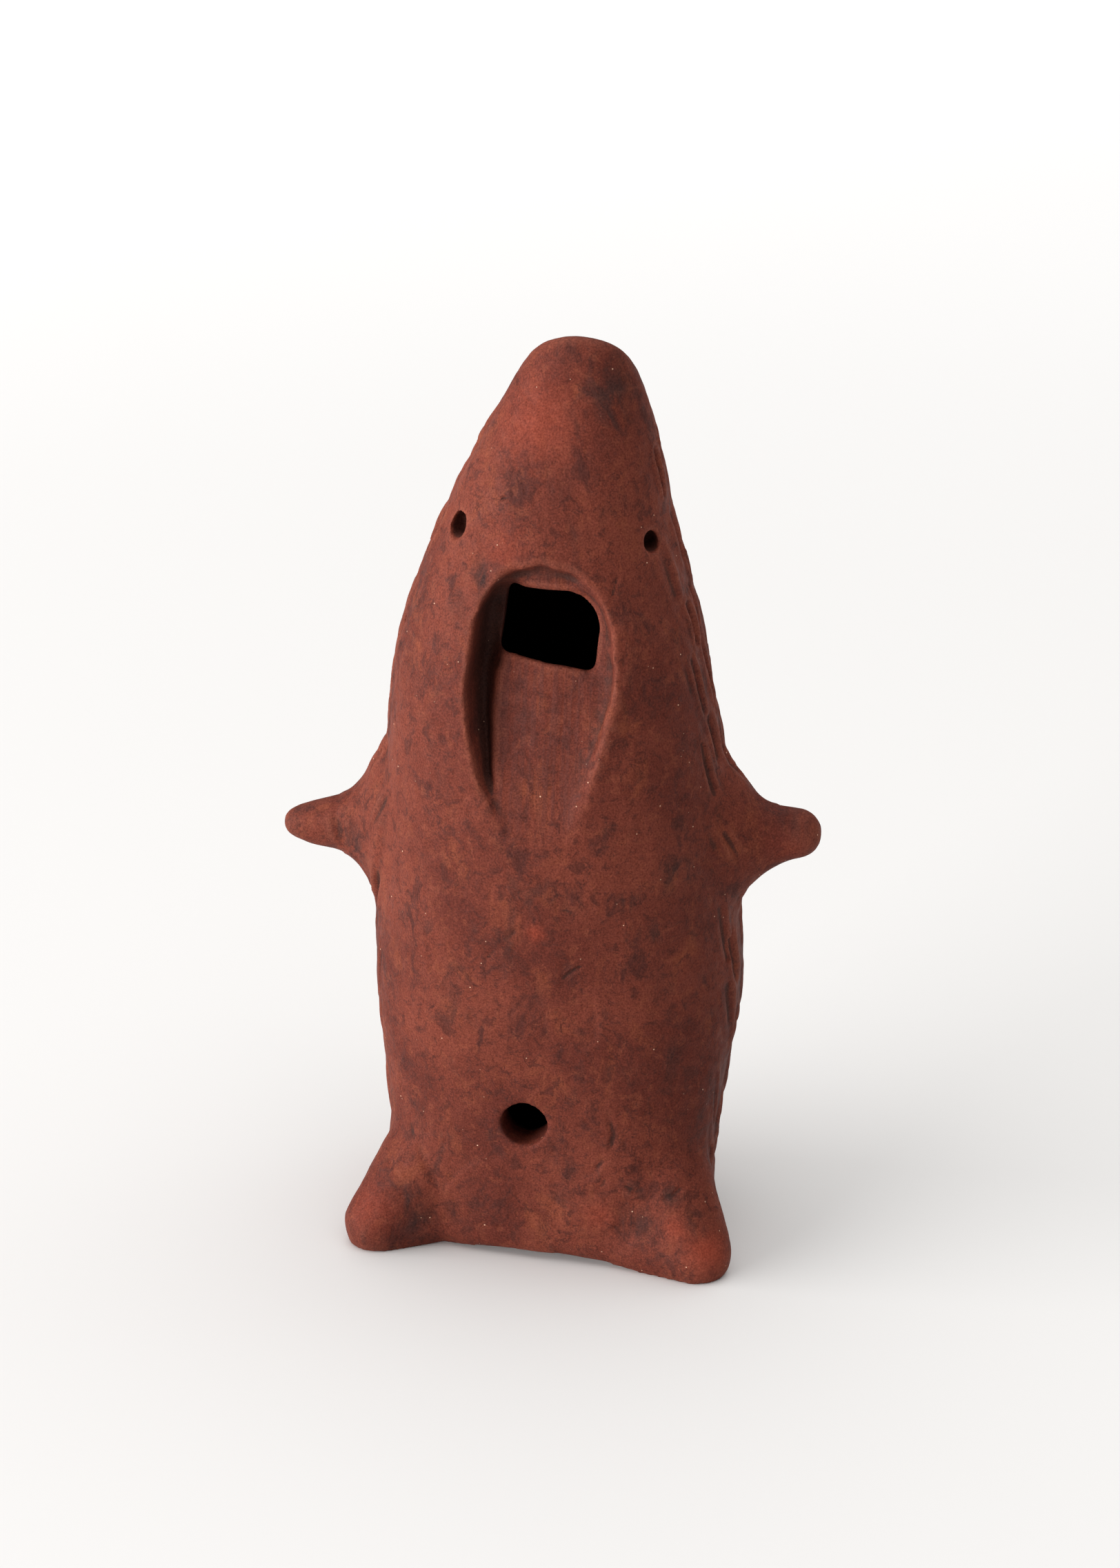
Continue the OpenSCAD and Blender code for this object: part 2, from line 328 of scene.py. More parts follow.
# Details that the smoothing must leave sharp
features = np.maximum.reduce([
    recess,
    near(clay.points, HOLE, 4.6, 3.0),
    *(near(clay.points, eye, 3.4, 2.4) for eye in EYES),
    near(clay.points, MOUTH, 6.0, 4.0),
])
sole = ramp(clay.points[:, 2], 0.9, 0.2)

# ---------------------------------------------------------------- smoothing, as the maker's wet thumb

clay.relax(4, 1 - 0.9 * sole)
clay.relax(26, (1 - features) * (1 - sole))

# Views of the points, which follow every later change of shape
x, y, z = clay.points.T

# The right arm tapers to a slimmer tip than its solid does
tip = ramp(x, RIGHT_ARM_X - 3, RIGHT_ARM_X - 9.5)
right_arm_z = (corners("right_arm")[0][2] + corners("right_arm")[1][2]) / 2 - 0.6
clay.points[:, 2] -= 0.24 * tip * (z - right_arm_z)
clay.points[:, 1] -= 0.2 * tip * (y - 0.5)

# Fillets where the limbs were smeared on
open_skin = (1 - features) * (1 - chamber) * ramp(clay.points[:, 2], 0.3, 2.0)
RIGHT_FOOT_ROOT = (-12, -10, 6)
LEFT_FOOT_ROOT = (13, -11, 6.5)
arm_roots = open_skin * np.maximum(near(clay.points, (RIGHT_ARM_X + 1, 0, ARM_Z), 13, 8),
                                   near(clay.points, (LEFT_ARM_X - 1, 0, ARM_Z), 13, 8))
foot_roots = open_skin * np.maximum(near(clay.points, RIGHT_FOOT_ROOT, 15, 9),
                                    near(clay.points, LEFT_FOOT_ROOT, 15, 9))
clay.fill_hollows(160, arm_roots)
clay.fill_hollows(500, foot_roots)
clay.relax(8, arm_roots)
clay.relax(30, foot_roots)

# The recess is deepest along its edge on the figure's right; the wall behind it moves with it
right_side = ramp(x, 2.0, -5.0) * ramp(z, 53, 60) * ramp(z, 78, 74) * recess_of(clay.points, -0.3)
clay.points[:, 1] += 1.5 * right_side * ramp(y, -5, -8)

# A cove under the recess's rim, which is rounded over on the figure's left
from_window = np.hypot((x - WINDOW[0]) / 5.0, (z - WINDOW[1]) / 4.3)
cove = np.maximum(ramp(x, -2, 1.5), ramp(z, 73, 76))
cove *= recess * (1 - chamber) * ramp(from_window, 1.0, 1.3)
clay.fill_hollows(60, cove)

# Along the figure's right the tool cut a channel, which narrows to a slit towards the foot of the ramp
channel_width = np.interp(z, CHANNEL_HEIGHTS, CHANNEL_WIDTHS)
from_edge = x - np.interp(z, RECESS_HEIGHTS, RECESS_RIGHT)
channel = ramp(from_edge, -0.2, 0.3) * ramp(from_edge, channel_width + 0.7, 0.5 * channel_width)
channel *= ramp(z, 53.5, 56) * ramp(z, 77.5, 72)

# Under its arch the recess is deeper, below a rounded rim; shade is painted in colour there and in the
# channel.
# A known fault: channel has no limit in depth, so this painted shade also darkens a strip of the back
# behind it.
under_arch = recess_of(clay.points, -0.2) * ramp(z, 75.2, 76.6)
clay.points[:, 1] += 1.0 * under_arch
arch_rim = recess_of(clay.points, 1.2) * (1 - recess_of(clay.points, -0.8)) * ramp(z, 74.9, 76.2)
clay.relax(12, arch_rim)
# Painted shade: the channel and the underside of the arch are darkened in colour
recess_shade = np.maximum(channel * ramp(z, 56, 67), 0.4 * under_arch)

# The channel goes in last, and the whole rim is rubbed over, most of all on the figure's left
clay.points[:, 1] += 2.0 * channel * ramp(y, -5, -8)
rim = recess_of(clay.points, 1.4) * (1 - chamber) * ramp(from_window, 1.15, 1.5)
clay.relax(4, rim)
clay.relax(30, rim * ramp(x, 3.5, 6.5) * ramp(z, 79, 72))

# ---------------------------------------------------------------- unevenness of hand-pressed clay

outside = (1 - chamber) * (1 - sole)
plain = outside * (1 - 0.85 * recess) * (1 - 0.7 * near(clay.points, HOLE, 5.5, 3.0))
smear_edges = ramp(noise(clay.points, (5.0, 5.0, 7.0), 41), -0.02, 0.07)
smears = smear_edges * ramp(noise(clay.points, 9.0, 47), -0.1, 0.4)
lumps = (
    0.20 * fractal(clay.points, 11.0, 3, 2)
    + 0.12 * fractal(clay.points, (3.4, 3.4, 5.0), 11, 3)
    + 0.035 * fractal(clay.points, 1.3, 23, 2)
    + 0.12 * smears
)
clay.push(lumps * plain)

# The ramp was scraped upwards with a narrow tool
scrape = noise(clay.points, (0.55, 8, 16), 31) * 0.6 + noise(clay.points, (1.7, 9, 22), 37) * 0.8
clay.push(0.045 * scrape * recess * ramp(z, LABIUM_Z, LABIUM_Z - 2))


def stroke(start, end, width, depth, lip=0.3):
    """One drawn mark: the points it reaches, and how far each moves along its normal.

    It is a groove from start to end with low lips, or a ridge if depth is below 0.
    """
    start, end = np.asarray(start, float), np.asarray(end, float)
    length = np.linalg.norm(end - start)
    along = (end - start) / length
    offset = clay.points - (start + end) / 2
    close = np.linalg.norm(offset, axis=1) < length / 2 + 3 * width
    index = np.nonzero(close)[0]
    travel = offset[index] @ along
    past = np.maximum(np.abs(travel) - length / 2, 0)
    side = np.linalg.norm(offset[index] - travel[:, None] * along, axis=1)
    distance = np.hypot(side, past) / width
    taper = 1 - 0.75 * (travel / (length / 2 + width)) ** 2
    groove = -depth * np.exp(-(distance / 0.55) ** 2) * taper
    ridge = lip * depth * np.exp(-((distance - 1.25) / 0.5) ** 2) * taper
    return index, groove + ridge


def apply_strokes(marks, mask):
    """Draws all the marks at once; where two of them cross, the stronger one counts."""
    total = np.zeros(len(clay.points))
    for mark in marks:
        index, amount = stroke(*mark)
        deeper = np.abs(amount) > np.abs(total[index])
        total[index[deeper]] = amount[deeper]
    clay.push(total * mask)


# ---------------------------------------------------------------- the coat, scored with short strokes

tree = BVHTree.FromPolygons([Vector(p) for p in clay.points], clay.triangles.tolist())
COAT_ROWS = 19
COAT_FOOT_Z = 9
COAT_HEIGHT = 84


def coat_strokes():
    """Rows of slanting strokes down the back, leaning away from the spine."""
    rng = np.random.default_rng(5)
    marks = []
    for row in range(COAT_ROWS):
        row_z = COAT_FOOT_Z + row * (COAT_HEIGHT / COAT_ROWS)
        columns = 12 if row_z < 72 else 8
        spread = 226 if row_z < 78 else 200
        for column in range(columns):
            turn = (column + 0.5 * (row % 2)) / (columns - 0.5) - 0.5
            angle = math.radians(90 + spread * turn + rng.uniform(-6, 6))
            height = row_z + rng.uniform(-1.8, 1.8)
            middle = Vector((0.6 + 0.02 * height, 0.5 - 0.02 * height, height))
            out = Vector((-math.cos(angle), math.sin(angle), 0.0))
            hit, normal, _, _ = tree.ray_cast(middle + out * 60, -out)
            if hit is None:
                continue
            side = 1 if hit.x < middle.x else -1
            lean = rng.uniform(0.25, 0.6) * side * min(1, abs(turn) * 6)
            down = Vector((-lean, 0.15, -1.0))
            down = (down - normal * down.dot(normal)).normalized()
            length = rng.uniform(3.6, 7.4)
            marks.append((hit - down * length / 2, hit + down * length / 2,
                          rng.uniform(0.6, 1.15), rng.uniform(0.4, 0.85), 0.45))
    return marks


# The coat covers the back, up to the arms and short of the sole and the tip of the snout
back_angle = np.arctan2(np.abs(x - 0.6), y + 0.04 * z)
coat = ramp(back_angle, math.radians(110), math.radians(94)) * outside
coat *= 1 - np.maximum(near(clay.points, (RIGHT_ARM_X - 6, 0, ARM_Z), 10, 6),
                       near(clay.points, (LEFT_ARM_X + 6, 0, ARM_Z), 10, 6))
coat *= ramp(z, 5, 9) * ramp(z, 94, 89)
apply_strokes(coat_strokes(), coat)

# ---------------------------------------------------------------- marks that the maker left on the front

# Each is drawn through places given by x and z as seen from the front, then its width and depth
FRONT_MARKS = (
    (((8.3, 76.8), (7.9, 74.8)), 0.34, 0.24),
    (((3.4, 34.2), (4.6, 35.3), (5.8, 36.0), (6.8, 36.2)), 0.32, 0.24),
    (((3.4, 42.2), (4.4, 41.9), (4.9, 41.1)), 0.3, 0.18),
    (((-4.6, 35.8), (-2.6, 38.2), (-0.4, 40.2)), 0.55, 0.1),
    (((9.8, 38.2), (10.6, 39.6)), 0.4, 0.12),
    (((-1.2, 43.8), (0.4, 44.3), (1.6, 43.7)), 0.5, 0.08),
    (((8.2, 17.9), (8.7, 16.1), (8.3, 13.8), (7.1, 12.2)), 0.5, 0.17),
    (((8.0, 12.4), (7.7, 10.4), (6.6, 8.4)), 0.5, 0.11),
    (((10.0, 10.1), (10.9, 9.6), (11.8, 9.7)), 0.45, 0.17),
    (((14.0, 8.9), (15.0, 9.2), (15.8, 9.9)), 0.45, 0.15),
    (((-13.7, 13.6), (-13.2, 12.3)), 0.5, 0.14),
    (((-3.6, 83.9), (-3.1, 84.1)), 0.3, 0.28),
    (((9.4, 72.0), (9.6, 68.5), (8.9, 64.5), (7.6, 60.0), (6.3, 56.5)), 1.6, -0.22),
)


def on_front(place):
    """The point of the skin that shows from the front at a place given by x and z."""
    hit, _, _, _ = tree.ray_cast(Vector((place[0], -60, place[1])), Vector((0, 1, 0)))
    return hit


def front_strokes():
    for places, width, depth in FRONT_MARKS:
        points = [on_front(place) for place in places]
        for start, end in zip(points, points[1:]):
            yield start, end, width, depth


RIGHT_ARM_GROOVE = ((-23.0, -2.6, 46.0), (-22.2, -3.0, 41.6), 0.9, 0.35)
ragged = ramp(noise(clay.points, 0.8, 61), -0.6, 0.2)
apply_strokes(front_strokes(), outside * ragged)
apply_strokes([RIGHT_ARM_GROOVE], outside)
print("strokes done")

# ---------------------------------------------------------------- masks for the clay's colour

# Relief is how far a point stands out of its surroundings, in millimetres, and is stored round 0.5
# The colour uses it for painted shade in hollows and a painted highlight on raised edges
NORMALS = clay.normals()
relief = np.einsum("ij,ij->i", clay.points - clay.smoothed(clay.points, 12), NORMALS)
relief *= (1 - near(clay.points, HOLE, 6.0, 4.0)) * (1 - recess_shade)
MASKS = {
    "chamber": chamber,
    "recess": recess,
    "recess_shade": recess_shade,
    "relief": np.clip(0.5 + relief / 0.24, 0, 1),
}

# ---------------------------------------------------------------- dividing the skin into its pieces


def skin_mesh():
    mesh = bpy.data.meshes.new("skin")
    mesh.from_pydata((clay.points * MM).tolist(), [], clay.triangles.tolist())
    mesh.update()
    return mesh


def cell(planes):
    """A big closed block cut down to the side of each plane that its normal points away from."""
    block = bmesh.new()
    bmesh.ops.create_cube(block, size=0.4)
    for point, normal in planes:
        cut = bmesh.ops.bisect_plane(
            block, geom=block.verts[:] + block.edges[:] + block.faces[:],
            plane_co=Vector(point) * MM, plane_no=Vector(normal), clear_outer=True,
        )
        rim = [e for e in cut["geom_cut"] if isinstance(e, bmesh.types.BMEdge)]
        bmesh.ops.contextual_create(block, geom=rim)
    bmesh.ops.recalc_face_normals(block, faces=block.faces)
    mesh = bpy.data.meshes.new("cell")
    block.to_mesh(mesh)
    block.free()
    return added("cell", mesh)


def flipped(plane):
    """The same plane with its normal turned round, so that a cell keeps its other side."""
    point, normal = plane
    return point, -np.asarray(normal)


right_to_left, back, up = np.eye(3)
neck = ((0, 0, NECK_Z), up)
base = ((0, 0, BASE_Z), up)
seam = ((0, SEAM_Y, 0), back)
left_arm_seat = ((LEFT_ARM_X, 0, 0), right_to_left)
right_arm_seat = ((RIGHT_ARM_X, 0, 0), -right_to_left)
left_foot_seat = flipped(largest_flat_face("left_foot", Vector((-0.74, 0.54, 0.4))))
right_foot_seat = flipped(largest_flat_face("right_foot", Vector((0.78, 0.47, 0.41))))
roof_seam = flipped(largest_flat_face("windway_roof", Vector((0, 1, 0))))
above_feet = ((0, 0, LIMB_SPLIT_Z), up)
body_sides = [left_arm_seat, right_arm_seat, left_foot_seat, right_foot_seat]

CELLS = {
    "belly_shell": [neck, flipped(base), seam, *body_sides],
    "back_shell": [neck, flipped(base), flipped(seam), *body_sides],
    "base_slab": [base, left_foot_seat, right_foot_seat],
    "snout_block": [flipped(neck), roof_seam],
    "windway_roof": [flipped(neck), flipped(roof_seam)],
    "left_arm": [flipped(left_arm_seat), flipped(above_feet)],
    "right_arm": [flipped(right_arm_seat), flipped(above_feet)],
    "left_foot": [flipped(left_foot_seat), above_feet],
    "right_foot": [flipped(right_foot_seat), above_feet],
}

lookup = KDTree(len(clay.points))
for number, point in enumerate(clay.points):
    lookup.insert(point, number)
lookup.balance()


def on_a_cut(mesh, planes):
    """For each polygon, whether it lies on one of the planes that the piece was cut along."""
    centres = read(mesh.polygons, "center", 3) / MM
    normals = read(mesh.polygons, "normal", 3)
    flat = np.zeros(len(centres), bool)
    for point, normal in planes:
        close = np.abs((centres - np.asarray(point)) @ np.asarray(normal)) < 0.004
        flat |= close & (normals @ np.asarray(normal) > 0.995)
    return flat


def dress(mesh, planes):
    """Gives a piece the whole skin's normals and masks, so that no seam shows between pieces."""
    found = np.array([lookup.find(point)[1] for point in read(mesh.vertices, "co", 3) / MM])
    for name, values in MASKS.items():
        layer = mesh.attributes.new(name, "FLOAT", "POINT")
        layer.data.foreach_set("value", values[found].astype(np.float32))
    flat = on_a_cut(mesh, planes)
    mesh.polygons.foreach_set("use_smooth", ~flat)
    loops = read(mesh.loops, "vertex_index", kind=np.int64)
    totals = read(mesh.polygons, "loop_total", kind=np.int64)
    face_of_loop = np.repeat(np.arange(len(totals)), totals)
    on_cut = flat[face_of_loop]
    chosen = NORMALS[found[loops]]
    chosen[on_cut] = read(mesh.polygons, "normal", 3)[face_of_loop[on_cut]]
    mesh.normals_split_custom_set(chosen.tolist())


def pieces_of_clay(material):
    """Cuts the whole skin into its nine pieces, each of which replaces one CAD node."""
    whole = skin_mesh()
    for name, planes in CELLS.items():
        cutter = cell(planes)
        mesh = with_modifier(
            whole.copy(), "BOOLEAN", operation="INTERSECT", solver="MANIFOLD", object=cutter,
        )
        bpy.data.objects.remove(cutter)
        mesh.name = name + "_clay"
        dress(mesh, planes)
        mesh.materials.clear()
        mesh.materials.append(material)
        piece = added(name + "_clay", mesh)
        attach(piece, "root")
        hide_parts(name)
        print(name, len(mesh.polygons), "faces")


# ---------------------------------------------------------------- materials

class Nodes:
    """Short calls for building a material's node tree."""

    def __init__(self, name):
        self.material = bpy.data.materials.new(name)
        self.material.use_nodes = True
        self.tree = self.material.node_tree
        self.tree.nodes.clear()

    def add(self, kind, inputs=None, **settings):
        node = self.tree.nodes.new(kind)
        for key, value in settings.items():
            setattr(node, key, value)
        for key, value in (inputs or {}).items():
            if isinstance(value, bpy.types.NodeSocket):
                self.tree.links.new(value, node.inputs[key])
            else:
                node.inputs[key].default_value = value
        return node

    def place(self):
        return self.add("ShaderNodeTexCoord").outputs["Object"]

    def stretched(self, vector, scale):
        return self.add("ShaderNodeMapping", {"Vector": vector, "Scale": scale}).outputs[0]

    def noise(self, vector, per_metre, detail=4.0, roughness=0.55, distortion=0.0):
        return self.add("ShaderNodeTexNoise", {
            "Vector": vector, "Scale": per_metre, "Detail": detail,
            "Roughness": roughness, "Distortion": distortion,
        }).outputs["Fac"]

    def grains(self, vector, per_metre):
        """The distance from the nearest of many scattered points, in cells."""
        voronoi = self.add("ShaderNodeTexVoronoi", {"Vector": vector, "Scale": per_metre})
        return voronoi.outputs["Distance"]

    def ramp(self, value, low, high, start=0.0, end=1.0):
        return self.add("ShaderNodeMapRange", {
            "Value": value, "From Min": low, "From Max": high, "To Min": start, "To Max": end,
        }, interpolation_type="SMOOTHSTEP").outputs[0]

    def math(self, operation, a, b=0.0):
        return self.add("ShaderNodeMath", {0: a, 1: b}, operation=operation).outputs[0]

    def times(self, a, b):
        return self.math("MULTIPLY", a, b)

    def mix(self, amount, a, b, blend="MIX"):
        node = self.add("ShaderNodeMix", data_type="RGBA", blend_type=blend)
        for key, value in (("Factor_Float", amount), ("A_Color", a), ("B_Color", b)):
            socket = next(s for s in node.inputs if s.identifier == key)
            if isinstance(value, bpy.types.NodeSocket):
                self.tree.links.new(value, socket)
            else:
                socket.default_value = value
        return next(s for s in node.outputs if s.identifier == "Result_Color")

    def mask(self, name):
        return self.add("ShaderNodeAttribute", attribute_name=name).outputs["Fac"]

    def ball(self, centre, reach, inner=0.0):
        """1 within inner of a place, falling to 0 at reach, in millimetres; inner may be above reach."""
        distance = self.add("ShaderNodeVectorMath", {
            0: self.place(), 1: tuple(c * MM for c in centre),
        }, operation="DISTANCE").outputs["Value"]
        return self.ramp(distance, reach * MM, inner * MM)

    def finish(self, shader):
        self.add("ShaderNodeOutputMaterial", {"Surface": shader.outputs[0]})
        return self.material


# Colours of the clay, of what lies on it, and of painted shade and highlight
DULL_CLAY = (0.104, 0.0222, 0.0143, 1)
BRIGHT_CLAY = (0.157, 0.0355, 0.0215, 1)
ORANGE_PATCH = (0.212, 0.053, 0.025, 1)
BROWN_PATCH = (0.061, 0.0178, 0.0142, 1)
DARK_MOTTLE = (0.069, 0.0185, 0.0135, 1)
PALE_MOTTLE = (0.187, 0.047, 0.0255, 1)
CRACKLE = (0.052, 0.0160, 0.0130, 1)
SCRAPED_CLAY = (0.100, 0.029, 0.0225, 1)
RED_CLAY = (0.245, 0.043, 0.023, 1)
# Smoke marks, and painted shade round the right arm's root
SMOKED_AND_SHADED_CLAY = (0.032, 0.0185, 0.017, 1)
# Painted shade for the recess's channel and the underside of its arch
RECESS_SHADE_TONE = (0.026, 0.0125, 0.0105, 1)
# Painted shade in hollows, and the colour of a few dark sand grains
HOLLOW_SHADE_AND_DARK_GRAIN = (0.045, 0.019, 0.015, 1)
# Painted highlight on raised edges, where the clay is also rubbed lighter
EDGE_HIGHLIGHT_AND_WEAR = (0.240, 0.070, 0.043, 1)
PALE_SAND = (0.66, 0.40, 0.27, 1)
# Painted shade for the chamber's inside
CHAMBER_PAINTED_SHADE = (0.008, 0.005, 0.004, 1)

# Places where smoke darkened the clay, and three spots of painted shade round the right arm's root:
# centre, reach and strength
SMOKE_AND_SHADE_SPOTS = (
    ((6.8, -7.5, 93.7), 6.0, 0.8),
    ((3.6, -8.6, 91.0), 2.6, 0.5),
    ((-3.4, -10.6, 83.8), 2.4, 0.5),
    ((-4.7, -11.9, 76.2), 3.6, 0.9),
    ((-8.0, -12.0, 73.0), 3.2, 0.75),
    ((-10.7, -11.8, 64.6), 2.2, 0.9),
    ((-12.4, -10.5, 77.0), 2.6, 0.5),
    ((9.0, -14.3, 50.3), 2.8, 0.6),
    ((14.8, -10.7, 44.7), 3.2, 1.0),
    ((9.8, -14.2, 42.9), 2.0, 0.9),
    ((12.9, -12.5, 38.8), 1.9, 0.8),
    ((14.4, -11.8, 24.4), 3.2, 0.6),
    ((-2.7, -15.5, 37.5), 4.2, 0.5),
    ((-6.8, -14.4, 29.1), 5.0, 0.6),
    ((-8.5, -14.0, 33.5), 3.0, 0.5),
    ((6.5, -14.6, 24.7), 4.6, 0.35),
    ((-4.7, -12.3, 63.9), 2.4, 0.55),
    ((-1.2, -12.8, 61.5), 3.0, 0.4),
    ((26.0, -2.0, 47.0), 3.6, 0.5),
    # Painted shade round the right arm's root
    ((-27.0, -1.0, 43.5), 4.5, 0.7),
    ((-21.5, -3.0, 42.5), 4.5, 0.8),
    ((-18.5, -6.0, 47.5), 4.5, 0.5),
    ((3.1, -14.1, 12.0), 3.0, 0.45),
    ((3.0, -14.0, 7.3), 2.8, 0.55),
    ((-7.7, -12.5, 5.1), 3.2, 0.6),
    ((-13.4, -13.2, 5.9), 3.0, 0.9),
    ((-12.2, -12.9, 2.9), 3.0, 0.9),
    ((-16.3, -13.5, 5.5), 2.0, 0.6),
    ((11.1, -14.1, 5.7), 3.4, 0.85),
    ((10.8, -13.6, 9.8), 1.9, 0.9),
    ((14.9, -13.7, 9.3), 2.0, 0.9),
    ((17.7, -14.4, 6.4), 2.2, 0.7),
    ((3.5, -13.0, 3.0), 5.0, 0.4),
)

# Places that fired redder
BLUSH = (
    ((19.1, -15.4, 3.6), 3.6, 0.9),
    ((15.5, -15.0, 6.0), 2.0, 0.5),
    ((7.2, -14.2, 6.6), 2.2, 0.4),
    ((-17.5, -13.0, 4.5), 4.0, 0.5),
    ((26.0, -3.0, 45.5), 4.0, 0.4),
    ((-0.5, -9.0, 92.0), 7.0, 0.5),
    ((0.8, -15.8, 39.4), 1.6, 0.7),
    ((-3.0, -12.0, 79.0), 4.0, 0.35),
)


def terracotta():
    n = Nodes("terracotta")
    place = n.place()
    upright = n.stretched(place, (1.0, 1.0, 0.6))
    recess_mask = n.mask("recess")
    relief_mask = n.mask("relief")

    broad = n.noise(place, 70, 3, 0.5)
    patchy = n.noise(upright, 260, 6, 0.68, 0.5)
    mottle = n.noise(place, 620, 5, 0.65, 0.8)
    scraped = n.noise(n.stretched(place, (1.0, 0.08, 0.04)), 1500, 3, 0.6)
    fine = n.noise(place, 900, 4, 0.6)
    grain = n.noise(place, 5200, 2, 0.5)

    # The fired clay: patches, mottling, dark crackle, scraping in the recess, and redder places
    vein = n.math("ABSOLUTE", n.math("SUBTRACT", n.noise(place, 420, 4, 0.6, 1.2), 0.5))
    scaly = n.ramp(n.noise(place, 190, 3, 0.55), 0.5, 0.6, 0, 0.6)
    layers = [
        (n.ramp(patchy, 0.54, 0.70, 0, 0.55), ORANGE_PATCH),
        (n.ramp(patchy, 0.46, 0.33, 0, 0.85), BROWN_PATCH),
        (n.ramp(mottle, 0.52, 0.64, 0, 0.7), DARK_MOTTLE),
        (n.ramp(mottle, 0.46, 0.35, 0, 0.5), PALE_MOTTLE),
        (n.times(n.ramp(vein, 0.022, 0.0), scaly), CRACKLE),
        (n.times(recess_mask, n.ramp(scraped, 0.42, 0.6, 0, 0.55)), SCRAPED_CLAY),
    ]
    for centre, reach, strength in BLUSH:
        layers.append((n.times(n.ball(centre, reach), strength), RED_CLAY))

    # Smoke: marked places and faint streaks everywhere, with painted shade round the right arm's root,
    # all broken up by noise
    smoke_and_shade = n.times(n.ramp(n.noise(upright, 160, 4, 0.6, 0.6), 0.56, 0.72), 0.5)
    for centre, reach, strength in SMOKE_AND_SHADE_SPOTS:
        smoke_and_shade = n.math("MAXIMUM", smoke_and_shade, n.times(n.ball(centre, reach), strength))
    smoke_and_shade = n.times(smoke_and_shade, n.ramp(n.noise(upright, 330, 5, 0.65, 0.8), 0.42, 0.62))
    layers.append((smoke_and_shade, SMOKED_AND_SHADED_CLAY))

    # Painted shade in the recess's channel and under its arch
    layers.append((n.times(n.mask("recess_shade"), 0.85), RECESS_SHADE_TONE))
    # Painted shade in hollows, and a painted highlight on raised edges, where the clay is also rubbed
    # lighter
    layers.append((n.ramp(relief_mask, 0.46, 0.1, 0, 0.75), HOLLOW_SHADE_AND_DARK_GRAIN))
    layers.append((n.ramp(relief_mask, 0.56, 0.95, 0, 0.3), EDGE_HIGHLIGHT_AND_WEAR))

    colour = n.mix(n.ramp(broad, 0.36, 0.64), DULL_CLAY, BRIGHT_CLAY)
    for amount, tint in layers:
        colour = n.mix(amount, colour, tint)

    # Sand: a fine variation with a few pale and dark grains
    grey = n.add("ShaderNodeCombineColor", {0: grain, 1: grain, 2: grain}).outputs[0]
    colour = n.mix(0.85, colour, grey, "SOFT_LIGHT")
    pale = n.ramp(n.grains(place, 700), 0.065, 0.035)
    rare = n.ramp(n.noise(place, 380, 2, 0.5), 0.48, 0.56)
    colour = n.mix(n.times(pale, rare), colour, PALE_SAND)
    dark = n.ramp(n.grains(n.stretched(place, (1.3, 1, 1)), 1150), 0.16, 0.08)
    dark = n.times(dark, n.ramp(fine, 0.52, 0.6))
    colour = n.mix(n.times(dark, 0.5), colour, HOLLOW_SHADE_AND_DARK_GRAIN)

    # Painted shade: the chamber's inside is coloured near black
    colour = n.mix(n.mask("chamber"), colour, CHAMBER_PAINTED_SHADE)

    # Bump: sand, the drag marks of a wet finger, small pits, and the scraping in the recess
    bumps = (
        (grain, 0.16),
        (n.noise(n.stretched(place, (1.0, 1.0, 0.25)), 1400, 3, 0.6), 0.3),
        (n.ramp(n.grains(place, 620), 0.10, 0.26), 0.22),
        (mottle, 0.5),
        (n.times(scraped, recess_mask), 0.5),
    )
    height = n.times(fine, 0.55)
    for texture, strength in bumps:
        height = n.math("ADD", height, n.times(texture, strength))
    bump = n.add("ShaderNodeBump", {"Height": height, "Strength": 0.7, "Distance": 0.0002})

    rough = n.math("ADD", n.ramp(fine, 0.3, 0.7, 0.58, 0.74), n.times(smoke_and_shade, 0.12))
    return n.finish(n.add("ShaderNodeBsdfPrincipled", {
        "Base Color": colour, "Roughness": rough, "Normal": bump.outputs[0],
        "IOR": 1.45, "Specular IOR Level": 0.10,
    }))


# Floor colours; the change from near to far is painted light
PAPER_NEAR = (0.77, 0.757, 0.743, 1)
PAPER_FAR = (0.92, 0.915, 0.91, 1)
PAPER_CLOUD = (0.80, 0.79, 0.78, 1)
# Painted light: the glow of the far floor
FLOOR_PAINTED_GLOW = (1.0, 0.99, 0.98, 1)
ORIGIN = (0, 0, 0)


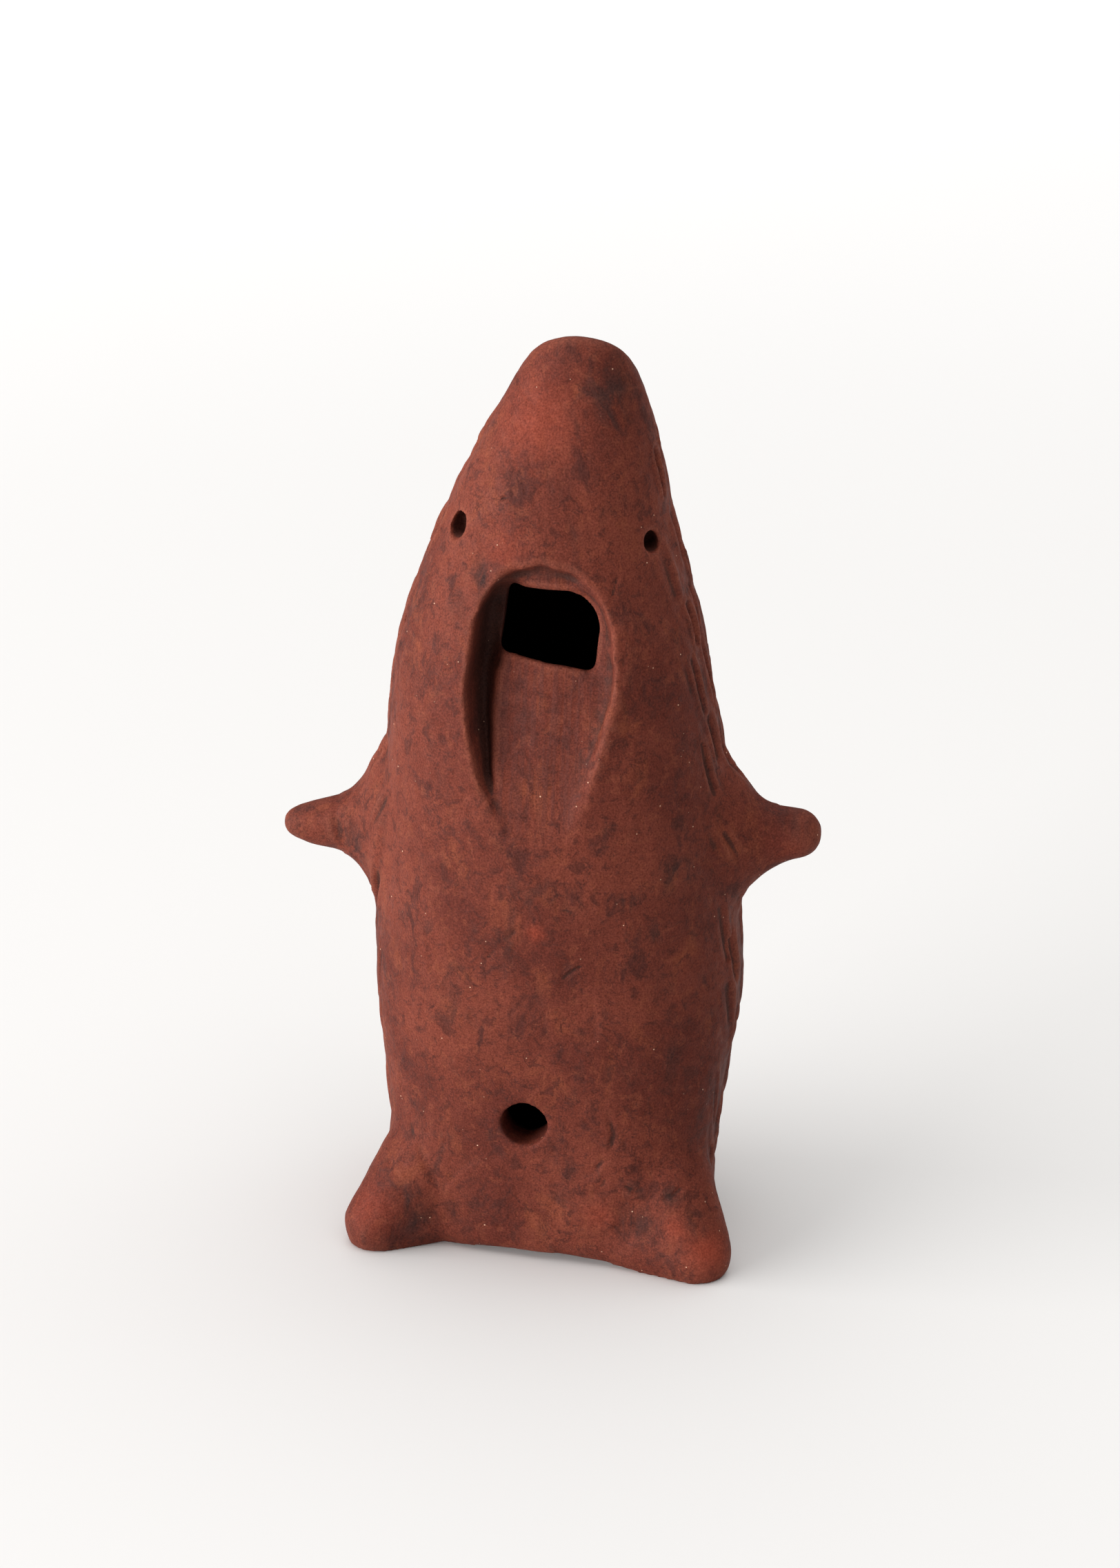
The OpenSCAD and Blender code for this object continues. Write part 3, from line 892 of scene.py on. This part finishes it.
def paper():
    """A pale floor with painted light: it gets paler with distance and glows faintly far out, as a lit
    studio sweep looks.
    """
    n = Nodes("pale_floor")
    # Painted light: the colour gets paler with distance from the figure
    colour = n.mix(n.ball(ORIGIN, 650, 200), PAPER_FAR, PAPER_NEAR)
    cloud = n.ramp(n.noise(n.place(), 3, 2, 0.5), 0.3, 0.7, 0, 0.3)
    colour = n.mix(cloud, colour, PAPER_CLOUD)
    # Painted light: a faint glow far out, though the floor is no lamp
    painted_glow = n.times(n.ball(ORIGIN, 700, 2200), 0.75)
    return n.finish(n.add("ShaderNodeBsdfPrincipled", {
        "Base Color": colour, "Roughness": 0.9,
        "Emission Color": FLOOR_PAINTED_GLOW, "Emission Strength": painted_glow,
    }))


pieces_of_clay(terracotta())

# ---------------------------------------------------------------- floor, light and camera


def floor(half_size):
    mesh = bpy.data.meshes.new("floor")
    corner_signs = ((-1, -1), (1, -1), (1, 1), (-1, 1))
    mesh.from_pydata([(a * half_size, b * half_size, 0) for a, b in corner_signs], [], [(0, 1, 2, 3)])
    mesh.materials.append(paper())
    ground = added("floor", mesh)


def area_light(name, place, aim, width, height, power):
    """A rectangular lamp in metres and watts, which lights the scene but doesn't show in it."""
    data = bpy.data.lights.new(name, "AREA")
    data.shape = "RECTANGLE"
    data.size = width
    data.size_y = height
    data.energy = power
    lamp = added(name, data)
    lamp.location = place
    lamp.visible_camera = False
    turned_along(lamp, Vector(aim) - Vector(place))


def world(colour, strength):
    made = bpy.data.worlds.new("studio")
    made.use_nodes = True
    background = made.node_tree.nodes["Background"]
    background.inputs["Color"].default_value = colour
    background.inputs["Strength"].default_value = strength
    bpy.context.scene.world = made


def camera(azimuth, elevation, distance, aim, lens):
    """A camera round the figure, by angles in degrees from its front; the lens is in millimetres."""
    a, e = math.radians(azimuth), math.radians(elevation)
    towards = Vector((math.sin(a) * math.cos(e), -math.cos(a) * math.cos(e), math.sin(e)))
    data = bpy.data.cameras.new("camera")
    data.lens = lens
    data.clip_start = 0.01
    made = added("camera", data)
    made.location = Vector(aim) + towards * distance
    turned_along(made, -towards)
    bpy.context.scene.camera = made


floor(half_size=14.0)
area_light("side_light", place=(-1.4, -0.84, 0.34), aim=(0, 0, 0.05), width=2.0, height=0.4, power=46)
area_light("top_light", place=(0.05, 0.5, 1.5), aim=(0, 0.4, 0), width=3.4, height=3.0, power=49)
world(colour=(1.0, 0.995, 0.985, 1), strength=0.12)
camera(azimuth=9, elevation=22, distance=0.42, aim=(0.0009, -0.0006, 0.0498), lens=92)
bpy.context.scene.view_settings.view_transform = "Standard"
